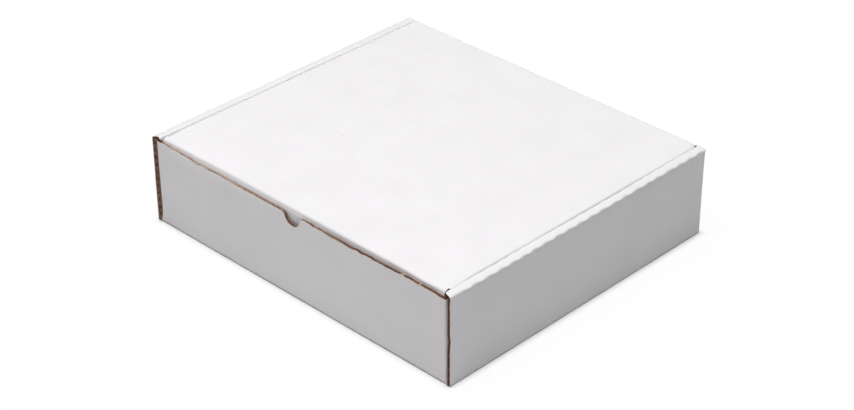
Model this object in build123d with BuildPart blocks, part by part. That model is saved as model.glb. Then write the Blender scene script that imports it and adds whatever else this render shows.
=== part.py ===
from build123d import *
from math import atan, cos, degrees, hypot, isclose, sin, sqrt, tan
import os

# Roll-end mailer box, folded from one die-cut sheet of corrugated board.
# X runs along the front, Y from front to back, Z up; the origin is the middle of the base.

# Clear space between the walls
inside_length = 305.0
inside_depth = 278.1

# Board, its folds and the slack between folded plies
board = 2.7
fold_inside = 0.3       # inner radius of a right-angled fold
ply_gap = 0.1

# Side walls, rolled over at the top
crease_height = 76.2    # base to the outer top crease
crown_rise = 1.2        # arch of the rolled top above its two creases
crease_round = 0.6
roll_end_flat = 4.2     # rolled top keeps its full length this far in from the outer face
wall_end_gap = 0.4      # inner side wall to front and back wall

# Lock tabs of the inner side walls, in slots of the base
tab_length = 38.0
tab_spacing = 132.0
tab_recess = 0.3        # tab end above the underside of the base
slot_gap = 0.3

# Front and back walls with their corner flaps
edge_gap = 0.5          # underside of the rolled top to the cut edges below it
flap_reach = 62.0       # outer face of the wall to the free end of its flap
flap_taper = 7.0
flap_corner = 6.0
flap_lift = 0.9         # flap above the base panel

# Thumb notch in the front wall
notch_radius = 8.9
notch_shift = 1.2       # off the middle of the front
notch_lip = 1.2

# Crease between back wall and lid, mitred so that the lid can fold right back
hinge_gap = 0.3
hinge_round = 2.2

# Lid, its tuck flap at the front and its dust flaps at the sides
lid_gap = 0.5           # lid to inner side wall
lid_side_round = 1.4
tuck_gap = 0.35         # front wall to the fold of the tuck flap
tuck_swing_gap = 0.5    # front wall to the tuck flap as the lid swings
tuck_fold_inside = 0.7
tuck_depth = 45.0
tuck_step = 1.2         # side of the tuck flap in from the side of the lid
tuck_taper = 9.0
tuck_corner = 14.0
dust_gap = 1.6          # tuck fold to dust flap
dust_depth = 34.0
dust_back = 12.0        # hinge to dust flap
dust_taper = 12.0
dust_corner = 8.0

# Sizes that follow
roll_width = 3 * board + 2 * ply_gap
half_length = inside_length / 2 + roll_width
half_depth = inside_depth / 2 + board
height = crease_height + crown_rise
fold_radius = board + fold_inside
edge_height = height - board - edge_gap
half_wall = half_length - board - ply_gap
inner_wall_foot = board + ply_gap
inner_wall_end = inside_depth / 2 - wall_end_gap
tab_x = inside_length / 2 + board / 2
flap_foot = board + flap_lift
flap_root = 2 * fold_radius
lid_half = inside_length / 2 - lid_gap
mitre_drop = hinge_gap / sqrt(2)

# The foot of the tuck flap stays inside the circle on which it passes the front wall
tuck_corner_y = tuck_gap - inside_depth / 2
front_wall_reach = half_depth + inside_depth / 2
swing_radius = hypot(front_wall_reach, height - edge_height) - tuck_swing_gap
tuck_foot_reach = sqrt(swing_radius ** 2 - tuck_depth ** 2)
tuck_lean = atan((half_depth - tuck_corner_y - tuck_foot_reach) / tuck_depth)
tuck_fold = board + tuck_fold_inside
tuck_root = 2 * tuck_fold
dust_front_y = tuck_corner_y + tuck_fold + dust_gap
dust_back_y = half_depth - dust_back
dust_root = 2 * board


def corners(sketch, x, y):
    """Corners of a sketch at a distance x and y from its axes, on either side."""
    return [v for v in sketch.vertices()
            if isclose(abs(v.X), x, abs_tol=1e-4) and isclose(abs(v.Y), y, abs_tol=1e-4)]


with BuildPart() as tray:
    # Base, outer side walls, rolled tops and inner side walls are one band of board
    with BuildSketch(Plane.XZ) as band:
        with BuildLine():
            FilletPolyline((0, 0), (half_length, 0), (half_length, crease_height), radius=fold_radius)
            ThreePointArc((half_length, crease_height),
                          (half_length - roll_width / 2, height),
                          (half_length - roll_width, crease_height))
            Polyline((half_length - roll_width, crease_height),
                     (half_length - roll_width, inner_wall_foot),
                     (half_length - roll_width + board, inner_wall_foot),
                     (half_length - roll_width + board, height - board),
                     (half_length - board, height - board))
            FilletPolyline((half_length - board, height - board), (half_length - board, board), (0, board),
                           radius=fold_inside)
            Line((0, board), (0, 0))
        make_face()
        fillet(corners(band, half_length, crease_height), crease_round)
        fillet(corners(band, half_length - roll_width, crease_height), crease_round)
        mirror(about=Plane.YZ)
    extrude(amount=half_depth, both=True)

    # Rolled tops taper to the inner side walls, which stop short of the front and back walls
    with BuildSketch(Plane.XY.offset(board)) as roll_ends:
        with BuildLine():
            Polyline((half_length - roll_end_flat, half_depth),
                     (half_length - roll_width + board, inner_wall_end),
                     (inside_length / 2 - board, inner_wall_end),
                     (inside_length / 2 - board, half_depth),
                     close=True)
        make_face()
        mirror(about=Plane.YZ)
        mirror(about=Plane.XZ)
    extrude(amount=height, mode=Mode.SUBTRACT)

    # Slots in the base, and the lock tabs that stand in them
    with BuildSketch(Plane.XY):
        with GridLocations(2 * tab_x, tab_spacing, 2, 2):
            Rectangle(board + 2 * slot_gap, tab_length + 2 * slot_gap)
    extrude(amount=board, mode=Mode.SUBTRACT)
    with BuildSketch(Plane.XY.offset(tab_recess)):
        with GridLocations(2 * tab_x, tab_spacing, 2, 2):
            Rectangle(board, tab_length)
    extrude(amount=inner_wall_foot - tab_recess)

    # Folds along the front and back of the base
    with BuildSketch(Plane.XY):
        with GridLocations(0, 2 * half_depth, 1, 2):
            Rectangle(2 * half_wall, 2 * fold_radius)
    extrude(amount=fold_radius, mode=Mode.SUBTRACT)
    with BuildSketch(Plane.YZ):
        with BuildLine():
            JernArc((half_depth - fold_radius, 0), (1, 0), fold_radius, 90)
            Polyline((half_depth, fold_radius),
                     (half_depth, flap_foot),
                     (half_depth - board, flap_foot),
                     (half_depth - board, fold_radius))
            JernArc((half_depth - board, fold_radius), (0, -1), fold_inside, -90)
            Line((half_depth - fold_radius, board), (half_depth - fold_radius, 0))
        make_face()
        mirror(about=Plane.YZ)
    extrude(amount=half_wall, both=True)

    # Front and back walls, turned in at both ends
    with BuildSketch(Plane.XY.offset(flap_foot)) as walls:
        Rectangle(2 * half_wall, 2 * half_depth)
        Rectangle(2 * (half_wall - board), inside_depth, mode=Mode.SUBTRACT)
        Rectangle(2 * half_wall, 2 * (half_depth - flap_root), mode=Mode.SUBTRACT)
        fillet(corners(walls, half_wall, half_depth), fold_radius)
        fillet(corners(walls, half_wall - board, inside_depth / 2), fold_inside)
    extrude(amount=edge_height - flap_foot)

    # Corner flaps between the outer and inner side walls
    with BuildSketch(Plane.YZ.offset(half_wall - board)) as flaps:
        with BuildLine():
            Polyline((half_depth - flap_root, flap_foot),
                     (half_depth - flap_reach, flap_foot + flap_taper),
                     (half_depth - flap_reach, edge_height - flap_taper),
                     (half_depth - flap_root, edge_height),
                     close=True)
        make_face()
        fillet(flaps.vertices().group_by(Axis.X)[0], flap_corner)
        mirror(about=Plane.YZ)
    corner_flaps = extrude(amount=board)
    mirror(corner_flaps, about=Plane.YZ)

    # Thumb notch
    with BuildSketch(Plane.XZ.offset(half_depth)):
        with Locations((notch_shift, edge_height)):
            Circle(notch_radius)
    extrude(amount=-board, mode=Mode.SUBTRACT)
    notch_lips = [e for e in tray.edges().filter_by(Axis.Y)
                  if isclose(e.center().Z, edge_height, abs_tol=1e-4)
                  and isclose(abs(e.center().X - notch_shift), notch_radius, abs_tol=1e-4)]
    fillet(notch_lips, notch_lip)

    # Back wall up to the lid crease
    with BuildSketch(Plane.YZ) as wall_crease:
        with Locations((half_depth, height)):
            Rectangle(board, height - edge_height, align=(Align.MAX, Align.MAX))
        fillet(corners(wall_crease, half_depth, height), hinge_round)
        with BuildLine():
            Polyline((half_depth + board, height + board - mitre_drop),
                     (half_depth - 2 * board, height - 2 * board - mitre_drop),
                     (half_depth - 2 * board, height + board - mitre_drop),
                     close=True)
        make_face(mode=Mode.SUBTRACT)
    extrude(amount=lid_half, both=True)

with BuildPart() as lid:
    # Panel, folded down along both sides
    with BuildSketch(Plane.XZ.offset(-dust_back_y)) as panel:
        with Locations((0, height)):
            Rectangle(2 * lid_half, dust_root, align=(Align.CENTER, Align.MAX))
        with Locations((0, height - board)):
            Rectangle(2 * (lid_half - board), dust_root, align=(Align.CENTER, Align.MAX), mode=Mode.SUBTRACT)
        fillet(corners(panel, lid_half, height), lid_side_round)
    extrude(amount=dust_back_y - dust_front_y)

    # Dust flaps
    with BuildSketch(Plane.YZ.offset(lid_half - board)) as dust:
        with BuildLine():
            Polyline((dust_front_y, height - dust_root),
                     (dust_front_y + dust_taper, height - dust_depth),
                     (dust_back_y - dust_taper, height - dust_depth),
                     (dust_back_y, height - dust_root),
                     close=True)
        make_face()
        fillet(dust.vertices().group_by(Axis.Y)[0], dust_corner)
    dust_flap = extrude(amount=board)
    mirror(dust_flap, about=Plane.YZ)

    # Edge along the crease to the back wall
    with BuildSketch(Plane.YZ) as lid_crease:
        with Locations((half_depth, height)):
            Rectangle(dust_back, board, align=(Align.MAX, Align.MAX))
        fillet(corners(lid_crease, half_depth, height), hinge_round)
        with BuildLine():
            Polyline((half_depth + board, height + board + mitre_drop),
                     (half_depth - 2 * board, height - 2 * board + mitre_drop),
                     (half_depth + board, height - 2 * board + mitre_drop),
                     close=True)
        make_face(mode=Mode.SUBTRACT)
    extrude(amount=lid_half, both=True)

    # Front fold, drawn along the middle of the board
    fold_y = tuck_corner_y + board / 2 * (1 / cos(tuck_lean) + tan(tuck_lean))
    fold_z = height - board / 2
    root_y = fold_y + tuck_root * sin(tuck_lean)
    root_z = fold_z - tuck_root * cos(tuck_lean)
    with BuildSketch(Plane.YZ):
        with BuildLine():
            FilletPolyline((dust_front_y, fold_z), (fold_y, fold_z), (root_y, root_z),
                           radius=tuck_fold - board / 2)
        trace(line_width=board)
    extrude(amount=lid_half, both=True)

    # Tuck flap, leaning in behind the front wall
    tuck_plane = Plane(origin=(0, root_y, root_z), x_dir=(1, 0, 0), z_dir=(0, -cos(tuck_lean), -sin(tuck_lean)))
    tuck_drop = (tuck_depth - height + root_z) / cos(tuck_lean)
    with BuildSketch(tuck_plane) as tuck:
        with BuildLine():
            Polyline((lid_half - tuck_step, 0),
                     (lid_half - tuck_taper, -tuck_drop),
                     (tuck_taper - lid_half, -tuck_drop),
                     (tuck_step - lid_half, 0),
                     close=True)
        make_face()
        fillet(tuck.vertices().group_by(Axis.Y)[0], tuck_corner)
    extrude(amount=board / 2, both=True)

tray.part.label = "tray"
lid.part.label = "lid"

os.makedirs("parts", exist_ok=True)
export_step(tray.part, "parts/tray.step")
export_step(lid.part, "parts/lid.step")

print(f"outside {2 * half_length:.1f} x {2 * half_depth:.1f} x {height:.1f} mm")
print(f"tuck flap leans {degrees(tuck_lean):.2f} degrees")
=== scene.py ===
import bmesh
import bpy
import math
import numpy as np
from mathutils import Matrix, Vector


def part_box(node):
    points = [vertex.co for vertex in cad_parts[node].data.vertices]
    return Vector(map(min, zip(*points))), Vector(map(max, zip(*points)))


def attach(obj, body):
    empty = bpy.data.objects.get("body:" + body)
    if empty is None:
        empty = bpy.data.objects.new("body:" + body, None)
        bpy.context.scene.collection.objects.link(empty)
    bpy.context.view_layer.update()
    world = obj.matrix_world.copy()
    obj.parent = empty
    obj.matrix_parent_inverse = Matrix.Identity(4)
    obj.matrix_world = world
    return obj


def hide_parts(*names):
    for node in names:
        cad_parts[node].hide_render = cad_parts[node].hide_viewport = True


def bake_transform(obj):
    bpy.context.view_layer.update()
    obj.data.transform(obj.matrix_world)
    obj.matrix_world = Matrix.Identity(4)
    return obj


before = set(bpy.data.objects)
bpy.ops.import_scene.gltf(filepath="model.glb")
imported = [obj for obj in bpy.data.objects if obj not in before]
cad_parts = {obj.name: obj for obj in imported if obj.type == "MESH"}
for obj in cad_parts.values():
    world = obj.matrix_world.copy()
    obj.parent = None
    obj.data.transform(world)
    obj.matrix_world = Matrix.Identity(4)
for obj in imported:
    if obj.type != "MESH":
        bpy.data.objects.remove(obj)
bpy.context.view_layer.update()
mm = 0.001                                   # shapes below are worked out in millimetres

# board and box sizes
board = dict(thick=2.7, liner=0.34, medium=0.26, pitch=6.5, foldReach=3.0, foldOut=2.0, foldIn=0.25,
             lidSpread=0.8, linesPerFlute=10, lineGap=0.25, sharpAngle=32)
thick, foldReach, foldOut, foldIn = (board[key] for key in ("thick", "foldReach", "foldOut", "foldIn"))
halfLength, halfDepth, height = (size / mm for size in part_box("tray")[1])
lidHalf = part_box("lid")[1].x / mm + board["lidSpread"]   # the soft folds close up most of the gap
pairs = [(s, k) for s in (-1, 1) for k in (-1, 1)]
farOff = 50.0                                # distance to the rim where no liner is torn
tiny = 1e-6


def ragged(q, seed, step, reach):            # smooth random wave with a new height at each step
    count = 512
    table = np.random.default_rng(seed).uniform(-1, 1, count)
    place = np.asarray(q, float) / step + count / 2
    low = np.floor(place).astype(int)
    part = place - low
    part = part * part * (3 - 2 * part)
    return reach * (table[low % count] * (1 - part) + table[(low + 1) % count] * part)


def ramp(q, low, high):
    return np.clip((q - low) / (high - low), 0, 1)


def bulge(q, middle, width):
    return np.exp(-((q - middle) / width) ** 2)


def cornerArc(start, corner, end, radius):   # first and last point, centre and sweep of a rounded corner
    back = (start - corner) / np.linalg.norm(start - corner)
    ahead = (end - corner) / np.linalg.norm(end - corner)
    half = math.acos(max(-1.0, min(1.0, float(back @ ahead)))) / 2
    reach = radius / math.tan(half)
    middle = back + ahead
    centre = corner + middle / np.linalg.norm(middle) * radius / math.sin(half)
    return corner + back * reach, corner + ahead * reach, centre, math.pi - 2 * half


def roundCorner(start, corner, end, radius, count):
    start, corner, end = (np.array(p, float) for p in (start, corner, end))
    first, last, centre, sweep = cornerArc(start, corner, end, radius)
    reach = np.linalg.norm(first - corner)
    arm = first - centre
    lastArm = last - centre
    turn = 1.0 if arm[0] * lastArm[1] - arm[1] * lastArm[0] > 0 else -1.0
    arc = []
    for angle in turn * sweep * np.linspace(0, 1, count + 1):
        c, s = math.cos(angle), math.sin(angle)
        arc.append(centre + np.array([arm[0] * c - arm[1] * s, arm[0] * s + arm[1] * c]))
    if np.linalg.norm(start - corner) - reach > tiny:
        arc.insert(0, start)
    if np.linalg.norm(end - corner) - reach > tiny:
        arc.append(end)
    arc = np.array(arc)
    run = np.concatenate([[0], np.cumsum(np.linalg.norm(np.diff(arc, axis=0), axis=1))])
    return arc, run / run[-1]


def cornerLimit(q, first, corner, last, radius):   # height at q of a line with one rounded corner
    first, corner, last = (np.array(p, float) for p in (first, corner, last))
    arcStart, arcEnd, centre = cornerArc(first, corner, last, radius)[:3]
    ends = sorted([tuple(arcStart), tuple(arcEnd)])
    side = 1.0 if corner[1] > centre[1] else -1.0
    q = np.asarray(q, float)
    arc = centre[1] + side * np.sqrt(np.maximum(radius ** 2 - (q - centre[0]) ** 2, 0))
    outline = sorted([tuple(first), tuple(last), *ends])
    line = np.interp(q, *zip(*outline))
    return np.where((q > ends[0][0]) & (q < ends[1][0] + tiny), arc, line)


def offsetLine(points, distance):            # parallel line on the right-hand side
    points = [np.array(p, float) for p in points]
    shifts = []
    for a, b in zip(points, points[1:]):
        along = (b - a) / np.linalg.norm(b - a)
        shifts.append(np.array([along[1], -along[0]]) * distance)
    made = [points[0] + shifts[0]]
    for p, first, second in zip(points[1:], shifts, shifts[1:]):
        middle = first + second
        made.append(p + middle * 2 * distance ** 2 / float(middle @ middle))
    return made + [points[-1] + shifts[-1]]


class FoldPath:                              # section of folded board: its white and its brown face
    def __init__(self, white, brown):
        self.white = [np.array(white, float)]
        self.brown = [np.array(brown, float)]
        self.along = [0.0]

    def add(self, white, brown):
        white, brown = np.array(white, float), np.array(brown, float)
        step = np.linalg.norm(white - self.white[-1]) + np.linalg.norm(brown - self.brown[-1])
        self.white.append(white)
        self.brown.append(brown)
        self.along.append(self.along[-1] + step / 2)

    def run(self, white, brown, count=1):
        white0, brown0 = self.white[-1], self.brown[-1]
        for share in np.linspace(0, 1, count + 1)[1:]:
            self.add(white0 + (np.array(white, float) - white0) * share,
                     brown0 + (np.array(brown, float) - brown0) * share)

    def fold(self, whiteCorner, whiteEnd, whiteRadius, brownCorner, brownEnd, brownRadius, count=8):
        white, whiteShare = roundCorner(self.white[-1], whiteCorner, whiteEnd, whiteRadius, count)
        brown, brownShare = roundCorner(self.brown[-1], brownCorner, brownEnd, brownRadius, count)
        for share in np.union1d(whiteShare, np.linspace(0, 1, 5))[1:]:
            self.add([np.interp(share, whiteShare, white[:, k]) for k in (0, 1)],
                     [np.interp(share, brownShare, brown[:, k]) for k in (0, 1)])

    def at(self, along, depth):
        white, brown = np.array(self.white), np.array(self.brown)
        points = []
        for k in (0, 1):
            outer = np.interp(along, self.along, white[:, k])
            points.append(outer * (1 - depth) + np.interp(along, self.along, brown[:, k]) * depth)
        return points


def shell(top, bottom, keep, marks, materials):    # closed skin of one layer, without the cells left out
    columns, rows = top.shape[:2]
    number = np.arange(columns * rows).reshape(columns, rows)
    a, b = number[:-1, :-1], number[1:, :-1]
    c, d = number[1:, 1:], number[:-1, 1:]
    shift = columns * rows
    faces = [np.stack([a, b, c, d], -1)[keep], np.stack([d, c, b, a], -1)[keep] + shift]
    kinds = [np.full(int(keep.sum()), material) for material in materials[:2]]
    wide = np.pad(keep, 1)
    for du, dv, p, q in ((-1, 0, d, a), (1, 0, b, c), (0, -1, a, b), (0, 1, c, d)):
        other = wide[1 + du:columns + du, 1 + dv:rows + dv]
        rim = np.stack([q, p, p + shift, q + shift], -1)[keep & ~other]
        faces.append(rim)
        kinds.append(np.full(len(rim), materials[2]))
    faces = np.concatenate(faces)
    used, places = np.unique(faces, return_inverse=True)
    points = np.concatenate([top.reshape(-1, 3), bottom.reshape(-1, 3)])[used]
    marks = np.concatenate([marks.reshape(-1, 3), marks.reshape(-1, 3)])[used]
    return points, places.reshape(faces.shape), np.concatenate(kinds), marks


def layers(pointAt, across, acrossFlute, along, alongFlute, keep=None, rimAt=None, wearAndShadeAt=None):
    liner = board["liner"] / thick
    medium = board["medium"] / thick / 2
    swing = 0.5 - liner - medium
    made = []
    for layer, columns, rows in ((0, across, along), (1, acrossFlute, alongFlute), (2, across, along)):
        u, v = np.meshgrid(columns, rows, indexing="ij")
        kept = np.ones((len(columns) - 1, len(rows) - 1), bool)
        if keep:
            kept = keep((u[:-1, :-1] + u[1:, 1:]) / 2, (v[:-1, :-1] + v[1:, 1:]) / 2)
        wave = 0.5 + swing * np.sin(2 * math.pi * u / board["pitch"])
        low = (0.0, wave - medium, 1 - liner)[layer]
        high = (liner, wave + medium, 1.0)[layer]
        rim = rimAt(u, v) if rimAt else np.full(u.shape, farOff)
        wearAndShade = wearAndShadeAt(u, v, layer) if wearAndShadeAt else np.zeros(u.shape)
        materials = ((0, 2, 2), (2, 2, 2), (2, 1, 2))[layer]
        made.append(shell(pointAt(u, v, low, layer), pointAt(u, v, high, layer), kept,
                          np.stack([u * mm, rim * mm, wearAndShade], -1), materials))
    return made


def fluteLines(low, high, *marks):           # even lines over the flutes, none too near a mark
    count = int((high - low) / board["pitch"] * board["linesPerFlute"])
    lines = np.linspace(low, high, count + 1)
    marks = np.array([m for m in marks if low < m < high])
    if len(marks):
        near = np.abs(lines[:, None] - marks[None, :]).min(1) < board["lineGap"]
        near[0] = near[-1] = False
        lines = np.sort(np.concatenate([lines[~near], marks]))
    return lines


def boardObject(name, parts, materials):
    points, faces, kinds, marks = zip(*parts)
    starts = np.cumsum([0] + [len(p) for p in points[:-1]])
    faces = np.concatenate([f + start for f, start in zip(faces, starts)])
    mesh = bpy.data.meshes.new(name)
    mesh.from_pydata((np.concatenate(points) * mm).tolist(), [], faces.tolist())
    for material in materials:
        mesh.materials.append(material)
    mesh.polygons.foreach_set("material_index", np.concatenate(kinds).astype(np.int32))
    marks = np.concatenate(marks).astype(np.float32)
    for k, key in enumerate(("across", "rim", "wearAndShade")):
        layer = mesh.attributes.new(key, "FLOAT", "POINT")
        layer.data.foreach_set("value", np.ascontiguousarray(marks[:, k]))
    work = bmesh.new()
    work.from_mesh(mesh)
    bmesh.ops.recalc_face_normals(work, faces=work.faces)
    for face in work.faces:
        face.smooth = True
    for edge in work.edges:
        edge.smooth = edge.calc_face_angle(0.0) < math.radians(board["sharpAngle"])
    work.to_mesh(mesh)
    work.free()
    piece = bpy.data.objects.new(name, mesh)
    bpy.context.scene.collection.objects.link(piece)
    return piece


class Val:                                   # a socket that takes part in sums
    def __init__(self, paint, socket):
        self.paint = paint
        self.socket = socket

    def __add__(self, other):
        return self.paint.sum("ADD", self, other)

    __radd__ = __add__

    def __sub__(self, other):
        return self.paint.sum("SUBTRACT", self, other)

    def __rsub__(self, other):
        return self.paint.sum("SUBTRACT", other, self)

    def __mul__(self, other):
        return self.paint.sum("MULTIPLY", self, other)

    __rmul__ = __mul__

    def __lt__(self, other):
        return self.paint.sum("LESS_THAN", self, other)

    def __gt__(self, other):
        return self.paint.sum("GREATER_THAN", self, other)


class Paint:                                 # the nodes of one material or world
    def __init__(self, owner):
        owner.use_nodes = True
        self.owner = owner
        self.tree = owner.node_tree
        self.tree.nodes.clear()

    def node(self, kind, settings=None, sockets=None, out=0):
        made = self.tree.nodes.new(kind)
        for key, value in (settings or {}).items():
            setattr(made, key, value)
        for key, value in (sockets or {}).items():
            found = [s for s in made.inputs if s.identifier == key] or [made.inputs[key]]
            if isinstance(value, Val):
                self.tree.links.new(value.socket, found[0])
            else:
                found[0].default_value = value
        if isinstance(out, str):
            match = [s for s in made.outputs if s.identifier == out] or [made.outputs[out]]
            return Val(self, match[0])
        return Val(self, made.outputs[out]) if made.outputs else None

    def sum(self, operation, *terms):
        return self.node("ShaderNodeMath", dict(operation=operation), dict(enumerate(terms)))

    def coord(self):
        return self.node("ShaderNodeTexCoord", out="Object")

    def attribute(self, name):
        return self.node("ShaderNodeAttribute", dict(attribute_name=name), None, "Fac")

    def noise(self, scale, detail=2.0, rough=0.5):
        sockets = {"Vector": self.coord(), "Scale": scale, "Detail": detail, "Roughness": rough}
        return self.node("ShaderNodeTexNoise", None, sockets, "Fac")

    def remap(self, value, low, high, newLow=0.0, newHigh=1.0):
        return self.node("ShaderNodeMapRange", None, {"Value": value, "From Min": low, "From Max": high,
                                                      "To Min": newLow, "To Max": newHigh})

    def mix(self, factor, first, second):
        return self.node("ShaderNodeMix", dict(data_type="RGBA", blend_type="MIX"),
                         {"Factor_Float": factor, "A_Color": first, "B_Color": second}, "Result_Color")

    def bump(self, fine, distance, strength, under=None):
        sockets = {"Height": fine, "Distance": distance, "Strength": strength}
        if under:
            sockets["Normal"] = under
        return self.node("ShaderNodeBump", None, sockets)

    def fluteBump(self, distance, strength):     # the flutes show faintly through the liners
        ridge = self.sum("SINE", self.attribute("across") * (2 * math.pi / (board["pitch"] * mm)))
        return self.bump(ridge, distance, strength)

    def surface(self, colour, roughness, normal, level):
        shader = self.node("ShaderNodeBsdfPrincipled", None,
                           {"Base Color": colour, "Roughness": roughness, "Normal": normal,
                            "Specular IOR Level": level})
        self.node("ShaderNodeOutputMaterial", None, {"Surface": shader})
        return self.owner


# white outer liner
# one brownish grey here is painted shade for the tuck flap behind the thumb notch; the other colours are the
# paper's own
whiteLook = dict(light=(0.842, 0.826, 0.842, 1), dark=(0.802, 0.786, 0.800, 1), speck=(0.26, 0.22, 0.20, 1),
                 chip=(0.74, 0.63, 0.52, 1), paintedShade=(0.20, 0.15, 0.15, 1), cloudScale=26.0, fibreScale=1300.0,
                 speckScale=75.0, tornScale=150.0, tornReach=0.0009, rough=(0.66, 0.8),
                 flutes=(0.00004, 0.35), grain=(0.00005, 0.25), shine=0.35)


def whitePaper(look):
    paint = Paint(bpy.data.materials.new("whiteLiner"))
    cloud = paint.noise(look["cloudScale"], 3.0, 0.55)
    fibre = paint.noise(look["fibreScale"], 2.0, 0.6)
    shade = paint.remap(cloud * 0.55 + fibre * 0.45, 0.36, 0.62)
    colour = paint.mix(shade, look["dark"], look["light"])
    cells = {"Vector": paint.coord(), "Scale": look["speckScale"]}
    cell = paint.node("ShaderNodeTexVoronoi", None, cells, "Distance")
    pick = paint.node("ShaderNodeTexVoronoi", None, cells, "Color")
    pick = paint.node("ShaderNodeSeparateColor", None, {"Color": pick}, "Red")
    speck = cell < pick * 0.3 - 0.255            # only a few cells hold a speck
    colour = paint.mix(speck * 0.8, colour, look["speck"])
    # painted shade: where the attribute is negative, the white liner is darkened towards a brownish grey
    notchShade = paint.sum("MAXIMUM", paint.attribute("wearAndShade") * -1.0, 0.0)
    colour = paint.mix(notchShade, colour, look["paintedShade"])
    torn = paint.remap(paint.noise(look["tornScale"], 3.0, 0.7), 0.46, 0.66, 0.0, look["tornReach"])
    colour = paint.mix((paint.attribute("rim") < torn) * 0.85, colour, look["chip"])
    rough = paint.remap(fibre, 0.3, 0.7, *look["rough"])
    normal = paint.bump(fibre, *look["grain"], paint.fluteBump(*look["flutes"]))
    return paint.surface(colour, rough, normal, look["shine"])


# brown inner liner
kraftLook = dict(light=(0.42, 0.265, 0.17, 1), dark=(0.30, 0.182, 0.115, 1), fleck=(0.19, 0.11, 0.07, 1),
                 cloudScale=34.0, fibreScale=900.0, fleckScale=420.0, rough=(0.78, 0.92),
                 flutes=(0.00008, 0.5), grain=(0.00008, 0.35), shine=0.2)


def kraftPaper(look):
    paint = Paint(bpy.data.materials.new("kraftLiner"))
    cloud = paint.noise(look["cloudScale"], 3.0, 0.6)
    fibre = paint.noise(look["fibreScale"], 3.0, 0.65)
    shade = paint.remap(cloud * 0.5 + fibre * 0.5, 0.36, 0.62)
    colour = paint.mix(shade, look["dark"], look["light"])
    fleck = paint.remap(paint.noise(look["fleckScale"], 2.0, 0.5), 0.66, 0.74)
    colour = paint.mix(fleck * 0.5, colour, look["fleck"])
    rough = paint.remap(fibre, 0.3, 0.7, *look["rough"])
    normal = paint.bump(fibre, *look["grain"], paint.fluteBump(*look["flutes"]))
    return paint.surface(colour, rough, normal, look["shine"])


# cut edges and flutes
edgeLook = dict(light=(0.39, 0.238, 0.182, 1), dark=(0.21, 0.120, 0.087, 1), wearAndShade=(0.57, 0.465, 0.385, 1),
                cloudScale=120.0, fibreScale=1500.0, patchScale=260.0, rough=(0.85, 0.97),
                grain=(0.0001, 0.5), shine=0.1)


def cutEdge(look):
    paint = Paint(bpy.data.materials.new("cutEdge"))
    cloud = paint.noise(look["cloudScale"], 3.0, 0.6)
    fibre = paint.noise(look["fibreScale"], 3.0, 0.7)
    shade = paint.remap(cloud * 0.6 + fibre * 0.4, 0.36, 0.64)
    colour = paint.mix(shade, look["dark"], look["light"])
    wearAndShade = paint.attribute("wearAndShade")
    patchy = wearAndShade * paint.remap(paint.noise(look["patchScale"], 2.0, 0.6), 0.34, 0.52)
    # where the attribute is positive it holds real wear: rubbed cut edges turn pale
    colour = paint.mix(paint.sum("MAXIMUM", patchy, wearAndShade * 2.4 - 1.5), colour, look["wearAndShade"])
    rough = paint.remap(fibre, 0.3, 0.7, *look["rough"])
    return paint.surface(colour, rough, paint.bump(fibre, *look["grain"]), look["shine"])


boardMaterials = [whitePaper(whiteLook), kraftPaper(kraftLook), cutEdge(edgeLook)]
print("materials ready")

# base with its front and back folds and the slots for the lock tabs
base = dict(wallFoot=3.6, wallGap=0.2, tabX=153.85, tabY=66.0, tabLength=38.0, slotGap=0.3,
            lumps=(3.4, 0.2))


def lumps(q, share):                         # the flutes leave the folds on the floor a little uneven
    step, reach = base["lumps"]
    return (reach + ragged(q, 91, step, reach)) * np.sin(math.pi * np.clip(share, 0, 1))


def baseBoard():
    foot = base["wallFoot"]
    path = FoldPath((-halfDepth, foot), (thick - halfDepth, foot))
    path.run((-halfDepth, foldReach), (thick - halfDepth, foldReach))
    path.fold((-halfDepth, 0), (foldReach - halfDepth, 0), foldOut,
              (thick - halfDepth, thick), (foldReach - halfDepth, thick), foldIn)
    start = path.along[-1]
    path.run((halfDepth - foldReach, 0), (halfDepth - foldReach, thick), 24)
    end = path.along[-1]
    path.fold((halfDepth, 0), (halfDepth, foldReach), foldOut,
              (halfDepth - thick, thick), (halfDepth - thick, foldReach), foldIn)
    path.run((halfDepth, foot), (halfDepth - thick, foot))
    side = halfLength - foldReach
    middle = start + halfDepth - foldReach
    wallEnd = walls["half"] - base["wallGap"]
    slotHalf = thick / 2 + base["slotGap"]
    tabEnd = base["tabLength"] / 2 + base["slotGap"]
    slotLines = [s * (base["tabX"] + k * slotHalf) for s, k in pairs] + [-wallEnd, wallEnd]
    slotEnds = [middle + s * base["tabY"] + k * tabEnd for s, k in pairs]

    def keep(u, v):
        slot = np.abs(np.abs(u) - base["tabX"]) < slotHalf
        slot = slot & (np.abs(np.abs(v - middle) - base["tabY"]) < tabEnd)
        return ~(slot | (np.abs(u) > wallEnd) & ((v < start) | (v > end)))

    def pointAt(u, v, depth, layer):
        y, z = path.at(v, depth)
        fold = np.minimum(v, path.along[-1] - v)
        return np.stack([u, y, z + lumps(u, fold / start)], -1)

    across = np.union1d(np.linspace(-side, side, 41), slotLines)
    along = np.union1d(path.along, slotEnds)
    alongFlute = np.union1d([a for a in path.along if a <= start or a >= end], slotEnds)
    return layers(pointAt, across, fluteLines(-side, side, *slotLines), along, alongFlute, keep)


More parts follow.
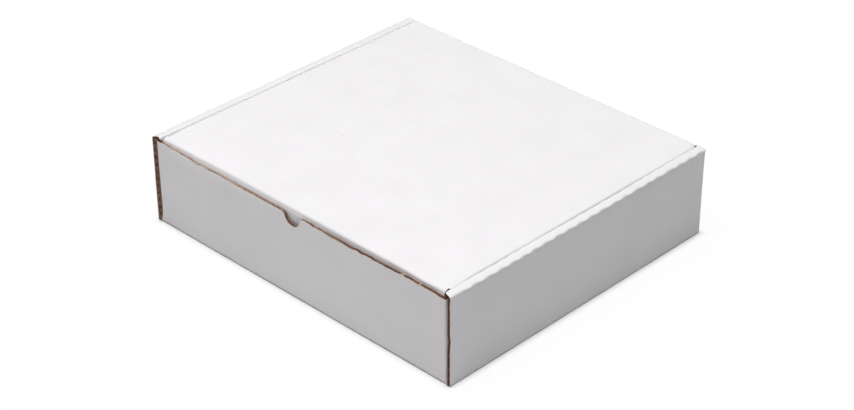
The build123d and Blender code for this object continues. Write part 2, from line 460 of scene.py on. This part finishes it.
# rolled double side walls; innerRound, forward, fray, swell and pinch have a left and a right value
sides = dict(outerCrease=76.2, innerCrease=77.45, roll=7.5, lean=0.8, leanFoot=68.0, creaseRound=1.8,
             innerRound=(1.9, 2.0), footRound=0.9, strip=(0.2, 0.68), creaseStep=0.5, innerEnd=136.3,
             innerTop=(72, 77), innerFoot=2.8, tabFoot=0.3, footReach=20,
             leftEnd=((0, 1.0, 4.0, 7.5), (0, 0.2, 1.6, 1.0)),
             rightEnd=((0, 0.5, 5.0, 6.4, 7.5), (0, 0.2, 1.0, 2.0, 4.0)),
             backEnd=((0, 6, 7.5), (0, 0.2, 0.7)), forward=(0.2, 0.35), hollow=8.0,
             hollowAt=(0.2, 0.9, 6.4, 7.3), fray=((0.1, 0.4, 1.3), (0.1, 0.5, 0.4)), frayWave=(1.7, 0.1),
             nick=(38.0, 1.6, 0.9), ripple=(40.0, 0.2), rippleRise=(70, 76), rubbed=0.6)
slip = dict(y=(-141, -60, 40, 141), right=(0.35, 0.45, 0.95, 0.4), left=(-0.5, -0.6, -0.7, -1.05),
            drop=(-0.3, 0.0, -0.1, 0.2), rise=(50, 75), dropRise=(60, 75), dropFade=1.4)
pucker = dict(pace=12.5, drift=(17.0, 2.5), swell=(0.3, 1.0), swellWidth=1.2, pinch=(0.2, 0.45),
              pinchWidth=1.5, calmFront=(-134, -126))


def sideBoard(sign):
    side = int(sign > 0)
    outer, inner, roll = sides["outerCrease"], sides["innerCrease"], sides["roll"]
    under = height - thick
    wallInside = halfLength - thick
    inside = halfLength - roll
    innerFace = inside - sides["lean"]
    plyInside = innerFace + thick
    creaseStep = sides["creaseStep"]
    path = FoldPath((halfLength - foldReach, 0), (halfLength - foldReach, thick))
    path.fold((halfLength, 0), (halfLength, foldReach), sides["footRound"],
              (wallInside, thick), (wallInside, foldReach), foldIn)
    bottom = path.along[-1]
    path.run((halfLength, outer - 2), (wallInside, under - 1), 12)
    outerStart = path.along[-1]
    shares = np.linspace(*sides["strip"], 8)
    strip = [(halfLength - roll * f, outer + (inner - outer) * (1 - (1 - f) ** 2)) for f in shares]
    path.fold((halfLength, outer), strip[0], sides["creaseRound"],
              (wallInside, under), (wallInside - creaseStep, under), foldIn)
    outerAt = (outerStart + path.along[-1]) / 2
    stripUnder = wallInside - plyInside - 2 * creaseStep
    for share, point in zip(np.linspace(0, 1, len(strip))[1:], strip[1:]):
        path.add(point, (wallInside - creaseStep - stripUnder * share, under))
    innerStart = path.along[-1]
    path.fold((inside, inner), (inside, inner - 2), sides["innerRound"][side],
              (plyInside, under), (plyInside, under - 1), foldIn)
    innerAt = (innerStart + path.along[-1]) / 2
    path.run((innerFace, sides["leanFoot"]), (plyInside, sides["leanFoot"]), 4)
    path.run((innerFace, sides["innerFoot"]), (plyInside, sides["innerFoot"]), 4)
    foot = path.along[-1]
    path.run((innerFace, sides["tabFoot"]), (plyInside, sides["tabFoot"]))
    tabHalf = base["tabLength"] / 2
    innerEnd = sides["innerEnd"]
    frontEnd = sides[("leftEnd", "rightEnd")[side]]
    slipX = slip[("left", "right")[side]]

    def ends(u, layer):                          # front and back end of the board, set back and frayed
        x, z = path.at(u, 0)
        away = np.where(u < sides["footReach"], 0, halfLength - x)
        rest = np.interp(z, sides["innerTop"], (halfDepth - innerEnd, 0))
        rest = np.where(away > roll - 0.05, rest, 0)
        fray = sides["fray"][side][layer] + ragged(u, 11 + layer + sign, *sides["frayWave"])
        hollow = np.interp(away, sides["hollowAt"], (0, 1, 1, 0)) * sides["hollow"] * (layer > 0)
        low = np.maximum(np.interp(away, *frontEnd), rest) + fray + hollow - sides["forward"][side]
        high = np.maximum(np.interp(away, *sides["backEnd"]), rest) + fray
        if side:
            place, spread, deep = sides["nick"]
            low = low + deep * bulge(z, place, spread) * (away < 0.5)
        return low - halfDepth, halfDepth - high

    def keep(u, v):
        low, high = ends(u, 0)
        y = low + (high - low) * v
        return (u < foot) | (np.abs(np.abs(y) - base["tabY"]) < tabHalf)

    def pointAt(u, v, depth, layer):
        x, z = path.at(u, depth)
        low, high = ends(u, layer)
        y = low + (high - low) * v
        inward = np.clip((halfLength - path.at(u, 0)[0]) / roll, 0, 1) * ramp(z, *slip["rise"])
        x = x + inward * np.interp(y, slip["y"], slipX)
        if side:
            drop = np.interp(y, slip["y"], slip["drop"]) * ramp(z, *slip["dropRise"])
            z = z - drop * np.clip(1 - inward * slip["dropFade"], 0, 1)
        z = z + ragged(y, 61 + sign, *sides["ripple"]) * ramp(z, *sides["rippleRise"])
        if layer == 0:                           # the white liner puckers where creases cross flutes
            wave = 2 * math.pi * (y + ragged(y, 65 + sign, *pucker["drift"])) / pucker["pace"]
            beat = (1 + np.sin(wave)) / 2
            swell = pucker["swell"][side] * beat * bulge(u, outerAt, pucker["swellWidth"])
            x = x + swell * ramp(y, *pucker["calmFront"])
            x = x - pucker["pinch"][side] * beat * bulge(u, innerAt, pucker["pinchWidth"])
        return np.stack([sign * x, y, z + lumps(y, u / bottom)], -1)

    def rimAt(u, v):
        low, high = ends(u, 0)
        return np.minimum(v, 1 - v) * (high - low)

    def wearAndShadeAt(u, v, layer):                     # cut edges of the left wall's white liner are rubbed
        return np.full(u.shape, sides["rubbed"] * (layer == 0) * (sign < 0))

    tabLines = [(1 + (s * base["tabY"] + k * tabHalf) / innerEnd) / 2 for s, k in pairs]
    along = np.union1d(np.linspace(0, 1, 161), tabLines)
    alongFlute = np.union1d(np.linspace(0, 1, 23), tabLines)
    acrossFlute = fluteLines(0, path.along[-1], foot)
    return layers(pointAt, path.along, acrossFlute, along, alongFlute, keep, rimAt, wearAndShadeAt)


# front and back walls with their corner flaps
walls = dict(half=156.9, flapHalf=158.0, fold=2.6, edge=74.2, reach=62.0, taper=7.0, corner=6.0, lift=0.9,
             root=9.0, flapEdge=40, bendLength=7.5, step=4.0, stepAt=(3.2, 5.0), cornerFoot=0.4,
             footShare=0.42, layerDrop=(0.1, 0.3, 0.1), fineFray=(2.4, 0.25), coarseFray=(4.5, 0.45),
             slip=(0.8, 0.5), flare=0.6, flareTop=5, squareFoot=(2, 8), squareTop=(69, 72),
             spacing=(1.0, 2.5))
# the last three values set the painted shade on the tuck flap behind the notch: its strength, width and
# height band
notch = dict(radius=8.5, centre=-0.5, foot=63.9, lip=1.2, hollow=1.2, fray=(1.6, 0.45),
             hollowFray=(3.0, 0.8), clear=12, paintedShade=0.06, shadeWidth=8, shadeAt=(40, 55, 64, 66.5))
edgeWave = dict(x=(-158, -151, -141, -124, -110, -85, -40, -15, 12, 45, 90, 125, 152),
                z=(0.6, 0.6, -0.5, -0.6, -1.9, -1.5, -2.1, -1.9, -0.7, -1.5, -1.4, -0.5, -1.2))
crushed = dict(x=(-150, -140, -65, -35, -16, -9, 0, 8, 16, 60, 150),
               share=(0.5, 0.9, 0.9, 0.7, 0.5, 0.5, 0.4, 0.6, 0.5, 0.15, 0.2),
               rubbed=(0.5, 0.7, 0.7, 0.2, 0.4, 0.6, 0.4, 0.7, 0.5, 0.05, 0.05),
               reach=4, liner=2.2, thin=0.25, push=0.22)
chips = dict(x=(27, 41, 49, 113.5, 130.7), width=(2.5, 2.5, 3.0, 1.8, 1.7),
             deep=(0.8, 0.9, 0.95, 1.5, 1.4), through=(0.88, 1.28))
hinge = dict(band=3.2, round=2.2, narrow=0.6)


def wallBoard(sign):
    half, flapHalf, reach = walls["half"], walls["flapHalf"], walls["reach"]
    front = sign * halfDepth
    back = front - sign * thick
    flapEnd = front - sign * reach
    flapStart = front - sign * walls["bendLength"]
    bend = front - sign * foldReach
    path = FoldPath((-flapHalf, flapEnd), (thick - flapHalf, flapEnd))
    path.run((-flapHalf, flapStart), (thick - flapHalf, flapStart), 10)
    path.run((-half, bend), (thick - half, bend), 2)
    path.fold((-half, front), (foldReach - half, front), walls["fold"],
              (thick - half, back), (foldReach - half, back), foldIn)
    path.run((half - foldReach, front), (half - foldReach, back), 72)
    foldStart = path.along[-1]
    path.fold((half, front), (half, bend), walls["fold"],
              (half - thick, back), (half - thick, bend), foldIn)
    foldLength = path.along[-1] - foldStart
    path.run((flapHalf, flapStart), (flapHalf - thick, flapStart), 2)
    path.run((flapHalf, flapEnd), (flapHalf - thick, flapEnd), 10)
    total = path.along[-1]
    footEnd = half - foldReach + foldLength * walls["footShare"]

    def torn(middle):
        tears = zip(chips["x"], chips["width"], chips["deep"])
        return sum(deep * bulge(middle, x, width) for x, width, deep in tears)

    def tornThrough(middle):                     # the deepest tears go through the whole edge
        return ramp(torn(middle), *chips["through"])

    def notched(middle, top, layer):
        radius, lip = notch["radius"], notch["lip"]
        aside = np.abs(middle - notch["centre"])
        bowl = notch["foot"] + radius - np.sqrt(np.maximum(radius ** 2 - aside ** 2, 0))
        over = np.clip(radius + lip - aside, 0, lip)
        ease = lip - np.sqrt(lip ** 2 - over ** 2)
        top = np.where(aside < radius, bowl + ragged(middle, 43, *notch["fray"]), top - ease)
        if layer == 1:
            top = top - (notch["hollow"] + ragged(middle, 41, *notch["hollowFray"])) * (over > 0)
        return top

    def limits(u, depth, layer):                 # bottom and top of the wall
        middle = u - total / 2
        flap = reach - (total / 2 - np.abs(middle))
        taper = cornerLimit(flap, (walls["root"], 0), (reach, walls["taper"]), (reach, walls["flapEdge"]),
                            walls["corner"])
        onFlap = flap > walls["root"] - 1
        low = np.where(np.abs(middle) > footEnd, walls["cornerFoot"], base["wallFoot"])
        low = np.where(onFlap, base["wallFoot"] + walls["lift"] + taper, low)
        step = np.interp(flap, walls["stepAt"], (0, walls["step"]))
        top = walls["edge"] - np.where(onFlap, taper, 0) - step
        top = top + ragged(middle, 31 + layer, *walls["fineFray"])
        top = top + ragged(middle, 35, *walls["coarseFray"]) - walls["layerDrop"][layer]
        if sign < 0:
            top = notched(middle, top + np.interp(middle, edgeWave["x"], edgeWave["z"]), layer)
        else:
            top = np.where(np.abs(middle) < lidHalf, height - hinge["band"] - thick * depth, top)
        return low, top

    def pointAt(u, v, depth, layer):
        low, top = limits(u, depth, layer)
        z = low + (top - low) * v
        middle = u - total / 2
        if sign < 0:
            press = np.interp(middle, crushed["x"], crushed["share"], 0, 0) + tornThrough(middle)
            press = np.clip(press, 0, 1) * ramp(z, top - crushed["reach"], top) ** 2
            if layer == 0:
                depth = depth * (1 + crushed["liner"] * press)
            if layer == 2:
                depth = 1 - (1 - depth) * (1 + crushed["liner"] * press)
            push = crushed["push"] * press * (np.abs(middle) > notch["clear"])
            depth = depth * (1 - crushed["thin"] * press) + push
        x, y = path.at(u, depth)
        turned = np.clip((np.abs(middle) - half + foldReach) / foldLength, 0, 1)
        sharp = np.interp(z, walls["squareTop"], (0, 1)) * (middle > 0)
        sharp = (np.interp(z, walls["squareFoot"], (1, 0)) + sharp) * (turned > 0) * (turned < 1)
        rest = foldReach - thick * depth
        squareX = half - foldReach + rest * np.minimum(turned * 2, 1)
        flare = walls["flare"] * np.clip(1 - z / walls["flareTop"], 0, 1)
        squareX = squareX + flare * np.sin(math.pi * turned)
        squareY = front - sign * (thick * depth + rest * np.maximum(turned * 2 - 1, 0))
        x = x + (np.sign(middle) * squareX - x) * sharp
        y = y + (squareY - y) * sharp
        if sign < 0:                             # the front wall stands a little askew
            left, right = walls["slip"]
            rise = z / walls["edge"]
            share = np.interp(x, (-half, half), (0, 1))
            x = x + (1 - share) * left * (1 - rise) - share * right * rise
        return np.stack([x, y, z], -1)

    def rimAt(u, v):
        low, top = limits(u, 0.0, 0)
        return (1 - v) * (top - low) - torn(u - total / 2) if sign < 0 else np.full(u.shape, farOff)

    def wearAndShadeAt(u, v, layer):
        middle = u - total / 2
        rubbed = np.interp(middle, crushed["x"], crushed["rubbed"], 0, 0) + tornThrough(middle)
        rubbed = rubbed * np.where(np.abs(middle) < notch["clear"], layer == 0, 1)
        return np.clip(rubbed, 0, 1) * (v > 0.95) if sign < 0 else np.zeros(u.shape)

    if sign < 0:
        turns = np.radians(np.linspace(-90, 90, 25))
        lips = notch["radius"] + notch["lip"] * np.linspace(0, 1, 5)
        marks = list(notch["centre"] + notch["radius"] * np.sin(turns))
        marks += [notch["centre"] + s * r for s in (-1, 1) for r in lips]
    else:
        marks = [s * (lidHalf + k * 0.02) for s, k in pairs]
    marks += [s * (footEnd + k * 0.02) for s, k in pairs]
    marks = [total / 2 + m for m in marks]
    even = np.linspace(0, total, int(total / walls["spacing"][int(sign > 0)]))
    across = np.unique(np.concatenate([path.along, marks, even]))
    along = np.array([0, 0.1, 0.3, 0.5, 0.7, 0.85, 0.92, 0.96, 1.0])
    alongFlute = np.array([0, 0.5, 0.92, 0.96, 1.0])
    return layers(pointAt, across, fluteLines(0, total, *marks), along, alongFlute, None, rimAt, wearAndShadeAt)


def panel(name, body, parts):
    piece = boardObject(name, parts, boardMaterials)
    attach(piece, body)
    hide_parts(body)
    print(name, "ready", len(piece.data.polygons))


panel("trayBase", "tray", baseBoard())
panel("leftSide", "tray", sideBoard(-1))
panel("rightSide", "tray", sideBoard(1))
panel("frontWall", "tray", wallBoard(-1))
panel("backWall", "tray", wallBoard(1))

# lid panel with its tuck flap
lid = dict(creaseY=-137.6, creaseRound=2.4, bevel=4.7, bevelLean=73.0, bevelRound=1.5, lean=4.79,
           depth=45.0, flatStart=3.0, step=(0.4, 1.7), taper=9.0, corner=14.0, rootCut=1.8,
           fray=(1.9, 0.12), layerDrop=(0.1, 0.3, 0.1), fluteShort=0.00035, dustFront=-133.2, dustBack=138.2,
           sideRound=(2.6, 1.8), droop=0.25, droopReach=5)
lidSlide = dict(y=(-138, 60, 137), x=(0.3, 0.65, 0.7))
lidSag = dict(x=(-150, -124, -106, -88, -50, 0, 40, 71, 100, 118, 132, 150),
              z=(1.0, 0.5, 0.6, -0.3, 0.1, 0.35, 0.4, 0.9, 0.6, 1.2, 1.9, 1.7), reach=30.0,
              lines=(5, 10, 16, 22, 30, 100, 198))
bevelPull = dict(x=(-150, -30, 10, 60, 150), y=(0.0, 0.1, 0.3, 0.8, 0.9), start=0.6, reach=3.8)
dents = dict(step=4.5, x=(-150, 0, 150), deep=(0.15, 0.2, 0.9), back=2.0, width=1.8, slope=0.7)


def leftDroop(x):
    return lid["droop"] * ramp(-x, lidHalf - lid["droopReach"], lidHalf) ** 2


def lidPlace(x, y, z, share=0.0):            # the thin lid sits a little askew and sags along its front
    nearFront = 1 - ramp(y, lid["creaseY"], lid["creaseY"] + lidSag["reach"])
    sag = np.interp(x, lidSag["x"], lidSag["z"]) * nearFront ** 2 + leftDroop(x)
    pull = np.interp(x, bevelPull["x"], bevelPull["y"]) * share
    return np.stack([x + np.interp(y, lidSlide["y"], lidSlide["x"]), y + pull, z - sag], -1)


def lidPanel():
    lean = math.radians(lid["lean"])
    slope = math.radians(lid["bevelLean"])
    down = np.array([math.sin(lean), -math.cos(lean)])
    bevel = np.array([-math.cos(slope), -math.sin(slope)])
    crease = np.array([lid["creaseY"], height])
    turn = crease + bevel * lid["bevel"]
    foot = turn + down * (lid["depth"] - height + turn[1]) / math.cos(lean)
    backEdge = halfDepth - hinge["band"]
    panelStart = lid["creaseY"] + lid["flatStart"]
    white = [foot, turn, crease, (backEdge, height)]
    brown = offsetLine(white, thick)
    path = FoldPath(white[0], brown[0])
    path.run(turn + down, brown[1] + down, 8)
    root = path.along[-1]
    path.fold(turn, turn - bevel, lid["bevelRound"], brown[1], (brown[1] + brown[2]) / 2, 0.2, 4)
    path.fold(crease, (panelStart, height), lid["creaseRound"],
              brown[2], (panelStart, height - thick), 0.4, 10)
    start = path.along[-1]
    path.run((backEdge, height), (backEdge - thick, height - thick), 6)
    sideStart = lidHalf - foldReach
    dustLines = [start + lid[key] - panelStart for key in ("dustFront", "dustBack")]
    leftHalf, tuckHalf = (lidHalf - step for step in lid["step"])
    rootCut = root - lid["rootCut"]

    def keep(u, v):
        besideDust = (np.abs(u) > sideStart) & (v > dustLines[0]) & (v < dustLines[1])
        besideFold = ((u > tuckHalf) | (u < -leftHalf)) & (v < dustLines[0])
        besideTuck = (np.abs(u) > tuckHalf) & (v < rootCut)
        return ~(besideDust | besideFold | besideTuck)

    def pointAt(u, v, depth, layer):
        tuckCorner = (tuckHalf - lid["taper"], 0)
        rim = cornerLimit(np.abs(u), (tuckHalf, rootCut), tuckCorner, (0, 0), lid["corner"])
        rim = rim + lid["layerDrop"][layer] + ragged(u, 51 + layer, *lid["fray"])
        v = np.where(v < rootCut, rim + (rootCut - rim) * (v / rootCut), v)
        y, z = path.at(v, depth)
        dent = (0.5 + ragged(u, 83, dents["step"], 0.5)) * np.interp(u, dents["x"], dents["deep"])
        dent = dent * bulge(v, start - dents["back"], dents["width"])   # the front crease is dented
        y = y + dent * dents["slope"]
        z = z - dent * dents["slope"]
        fallen = height - path.at(v, 0)[1] - bevelPull["start"]
        share = np.clip(fallen / bevelPull["reach"], 0, 1)
        return lidPlace(u * (1 - lid["fluteShort"] * (layer == 1)), y, z, share)

    def wearAndShadeAt(u, v, layer):                     # painted shade: darker brownish grey on the tuck flap behind the thumb notch
        notchShade = np.interp(path.at(v, 0)[1], notch["shadeAt"], (0, 1, 1, 0))
        return -notch["paintedShade"] * np.exp(-(u / notch["shadeWidth"]) ** 4) * notchShade

    sideMarks = [s * m for s in (-1, 1) for m in (sideStart, tuckHalf)] + [-leftHalf]
    near = np.linspace(tuckHalf - 30, tuckHalf, 31)
    even = np.linspace(-sideStart, sideStart, 161)
    across = np.unique(np.concatenate([even, near, -near, sideMarks, [-lidHalf, lidHalf]]))
    folds = [a for a in path.along if root <= a <= start]
    sagLines = start + np.array(lidSag["lines"]) - lid["flatStart"]
    along = np.unique(np.concatenate([path.along, dustLines, [rootCut], sagLines]))
    alongFlute = np.unique(np.concatenate([[0, 2, rootCut], folds, dustLines, sagLines, [path.along[-1]]]))
    acrossFlute = fluteLines(-lidHalf, lidHalf, *sideMarks)
    return layers(pointAt, across, acrossFlute, along, alongFlute, keep, None, wearAndShadeAt)


# dust flaps folded down at the sides of the lid
dust = dict(depth=34.0, taper=12.0, corner=8.0, flapEdge=60, root=5.4, lean=0.75, leanTop=9, plain=2.5,
            layerDrop=(0.08, 0.28, 0.08), fray=(1.7, 0.08))


def dustBoard(sign):
    start = lidHalf - foldReach
    under = height - thick
    foldEnd = height - foldReach
    path = FoldPath((start, height), (start, under))
    path.fold((lidHalf, height), (lidHalf, foldEnd), lid["sideRound"][int(sign > 0)],
              (lidHalf - thick, under), (lidHalf - thick, foldEnd), foldIn)
    leaned = lidHalf - dust["lean"]
    for drop, count in ((dust["leanTop"], 3), (dust["depth"], 16)):
        path.run((leaned, height - drop), (leaned - thick, height - drop), count)

    def pointAt(u, v, depth, layer):
        x, z = path.at(u, depth)
        drop = height - path.at(u, 0)[1]
        inset = cornerLimit(drop, (dust["root"], 0), (dust["depth"], dust["taper"]),
                            (dust["depth"], dust["flapEdge"]), dust["corner"])
        inset = np.where(drop < dust["root"], 0, inset)
        fray = dust["layerDrop"][layer] + ragged(u, 71 + layer, *dust["fray"])
        fray = np.where(drop < dust["plain"], 0, fray)
        low = lid["dustFront"] + inset + fray
        high = lid["dustBack"] - inset - fray
        return lidPlace(sign * x, low + (high - low) * v, z)

    along = np.union1d(np.linspace(0, 1, 13), np.linspace(0, 0.25, 6))
    return layers(pointAt, path.along, fluteLines(0, path.along[-1]), along, np.array([0, 0.5, 1.0]))


panel("lidBoard", "lid", lidPanel() + dustBoard(-1) + dustBoard(1))


# crease between the back wall and the lid, with the settings in hinge
def creaseBoard():
    band = hinge["band"]
    bend = lid["sideRound"][0]
    path = FoldPath((halfDepth, height - band), (halfDepth - thick, height - thick - band))
    path.fold((halfDepth, height), (halfDepth - band, height), hinge["round"],
              (halfDepth - thick, height - thick), (halfDepth - thick - band, height - thick), foldIn, 12)
    total = path.along[-1]

    def pointAt(u, v, depth, layer):             # no row lies on the score line, where the crease opens
        inner = np.interp(v, (0, 0.42, 0.58, 1), (0, 0.495, 0.505, 1))
        white, brown = path.at(v * total, 0), path.at(inner * total, 1)
        y, z = (a * (1 - depth) + b * depth for a, b in zip(white, brown))
        x = u * (1 - hinge["narrow"] / lidHalf * (1 - v)) + lidSlide["x"][-1] * v
        over = np.clip(bend - lidHalf - u, 0, 0.95 * bend)   # the left end bends down with the dust flap
        fall = bend - np.sqrt(bend ** 2 - over ** 2) + leftDroop(u) + 0.1 * (over > 0)
        return np.stack([x, y, z - fall * ramp(v, 0.6, 1)], -1)

    rows = np.array([0, 0.16, 0.22, 0.28, 0.34, 0.38, 0.42, 0.58, 0.62, 0.66, 0.72, 0.78, 0.84, 1])
    across = np.union1d(np.linspace(-lidHalf, lidHalf, 31), np.linspace(-lidHalf, bend - lidHalf, 9))
    return layers(pointAt, across, fluteLines(-lidHalf, lidHalf), rows, rows)


lidCrease = boardObject("lidCrease", creaseBoard(), boardMaterials)
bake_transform(lidCrease)
print("crease ready", len(lidCrease.data.polygons))

# floor, light and camera
white = (1, 1, 1, 1)
floorLook = dict(size=4.0, drop=0.0002, seen=(0.97, 0.97, 0.97, 1), bounce=(0.66, 0.66, 0.66, 1), glow=0.93,
                 fade=0.005)
lamps = dict(overhead=dict(place=(0.0, -0.3, 2.2), size=(2.4, 2.4), power=69.8),
             front=dict(place=(-0.7, -2.2, 0.9), size=(1.4, 1.1), power=3.1),
             right=dict(place=(2.2, -0.3, 0.5), size=(1.4, 1.1), power=3.2))
lampAim = (0, 0, 0.05)
worldStrength = 0.01
shot = dict(lens=91.00, sensor=36.0, place=(1.01179, -1.03242, 0.91646), aim=(0.00806, -0.00857, 0.02672),
            roll=-0.2046)


def whiteFloor():                            # glows white to the camera, less so close to the box
    mesh = bpy.data.meshes.new("floor")
    s = floorLook["size"]
    z = -floorLook["drop"]
    mesh.from_pydata([(-s, -s, z), (s, -s, z), (s, s, z), (-s, s, z)], [], [(0, 1, 2, 3)])
    paint = Paint(bpy.data.materials.new("floorWhite"))
    seen = paint.node("ShaderNodeLightPath", out="Is Camera Ray")
    colour = paint.mix(seen, floorLook["bounce"], floorLook["seen"])
    diffuse = paint.node("ShaderNodeBsdfDiffuse", None, {"Color": colour})
    glow = paint.node("ShaderNodeEmission", None, {"Color": white, "Strength": 1.0})
    asideX, asideY = (paint.node("ShaderNodeSeparateXYZ", None, {"Vector": paint.coord()}, axis)
                      for axis in "XY")
    awayX = paint.sum("ABSOLUTE", asideX) - halfLength * mm
    awayY = paint.sum("ABSOLUTE", asideY) - halfDepth * mm
    away = paint.sum("MAXIMUM", awayX, awayY)
    clear = paint.remap(away, 0.0, floorLook["fade"], 0.0, floorLook["glow"])
    shader = paint.node("ShaderNodeMixShader", None, {"Fac": seen * clear, 1: diffuse, 2: glow})
    paint.node("ShaderNodeOutputMaterial", None, {"Surface": shader})
    mesh.materials.append(paint.owner)
    floor = bpy.data.objects.new("floor", mesh)
    bpy.context.scene.collection.objects.link(floor)


def whiteWorld():                            # white to the camera, nearly dark to the box
    world = bpy.data.worlds.new("studio")
    bpy.context.scene.world = world
    paint = Paint(world)
    seen = paint.node("ShaderNodeLightPath", out="Is Camera Ray")
    dim, bright = (paint.node("ShaderNodeBackground", None, {"Color": white, "Strength": strength})
                   for strength in (worldStrength, 1.0))
    shader = paint.node("ShaderNodeMixShader", None, {"Fac": seen, 1: dim, 2: bright})
    paint.node("ShaderNodeOutputWorld", None, {"Surface": shader})


def toward(place, aim):
    return (Vector(aim) - Vector(place)).to_track_quat("-Z", "Y")


def areaLight(name, place, size, power):
    lamp = bpy.data.lights.new(name, "AREA")
    lamp.shape = "RECTANGLE"
    lamp.size, lamp.size_y = size
    lamp.energy = power
    thing = bpy.data.objects.new(name, lamp)
    thing.location = place
    thing.rotation_euler = toward(place, lampAim).to_euler()
    bpy.context.scene.collection.objects.link(thing)


whiteFloor()
whiteWorld()
for name, settings in lamps.items():
    areaLight(name, **settings)
print("stage ready")

cameraData = bpy.data.cameras.new("camera")
cameraData.sensor_width = shot["sensor"]
cameraData.lens = shot["lens"]
camera = bpy.data.objects.new("camera", cameraData)
turned = toward(shot["place"], shot["aim"]).to_matrix().to_4x4()
rolled = Matrix.Rotation(math.radians(shot["roll"]), 4, "Z")
camera.matrix_world = Matrix.Translation(shot["place"]) @ turned @ rolled
bpy.context.scene.collection.objects.link(camera)
bpy.context.scene.camera = camera
bpy.context.scene.view_settings.view_transform = "Standard"
print("camera ready")
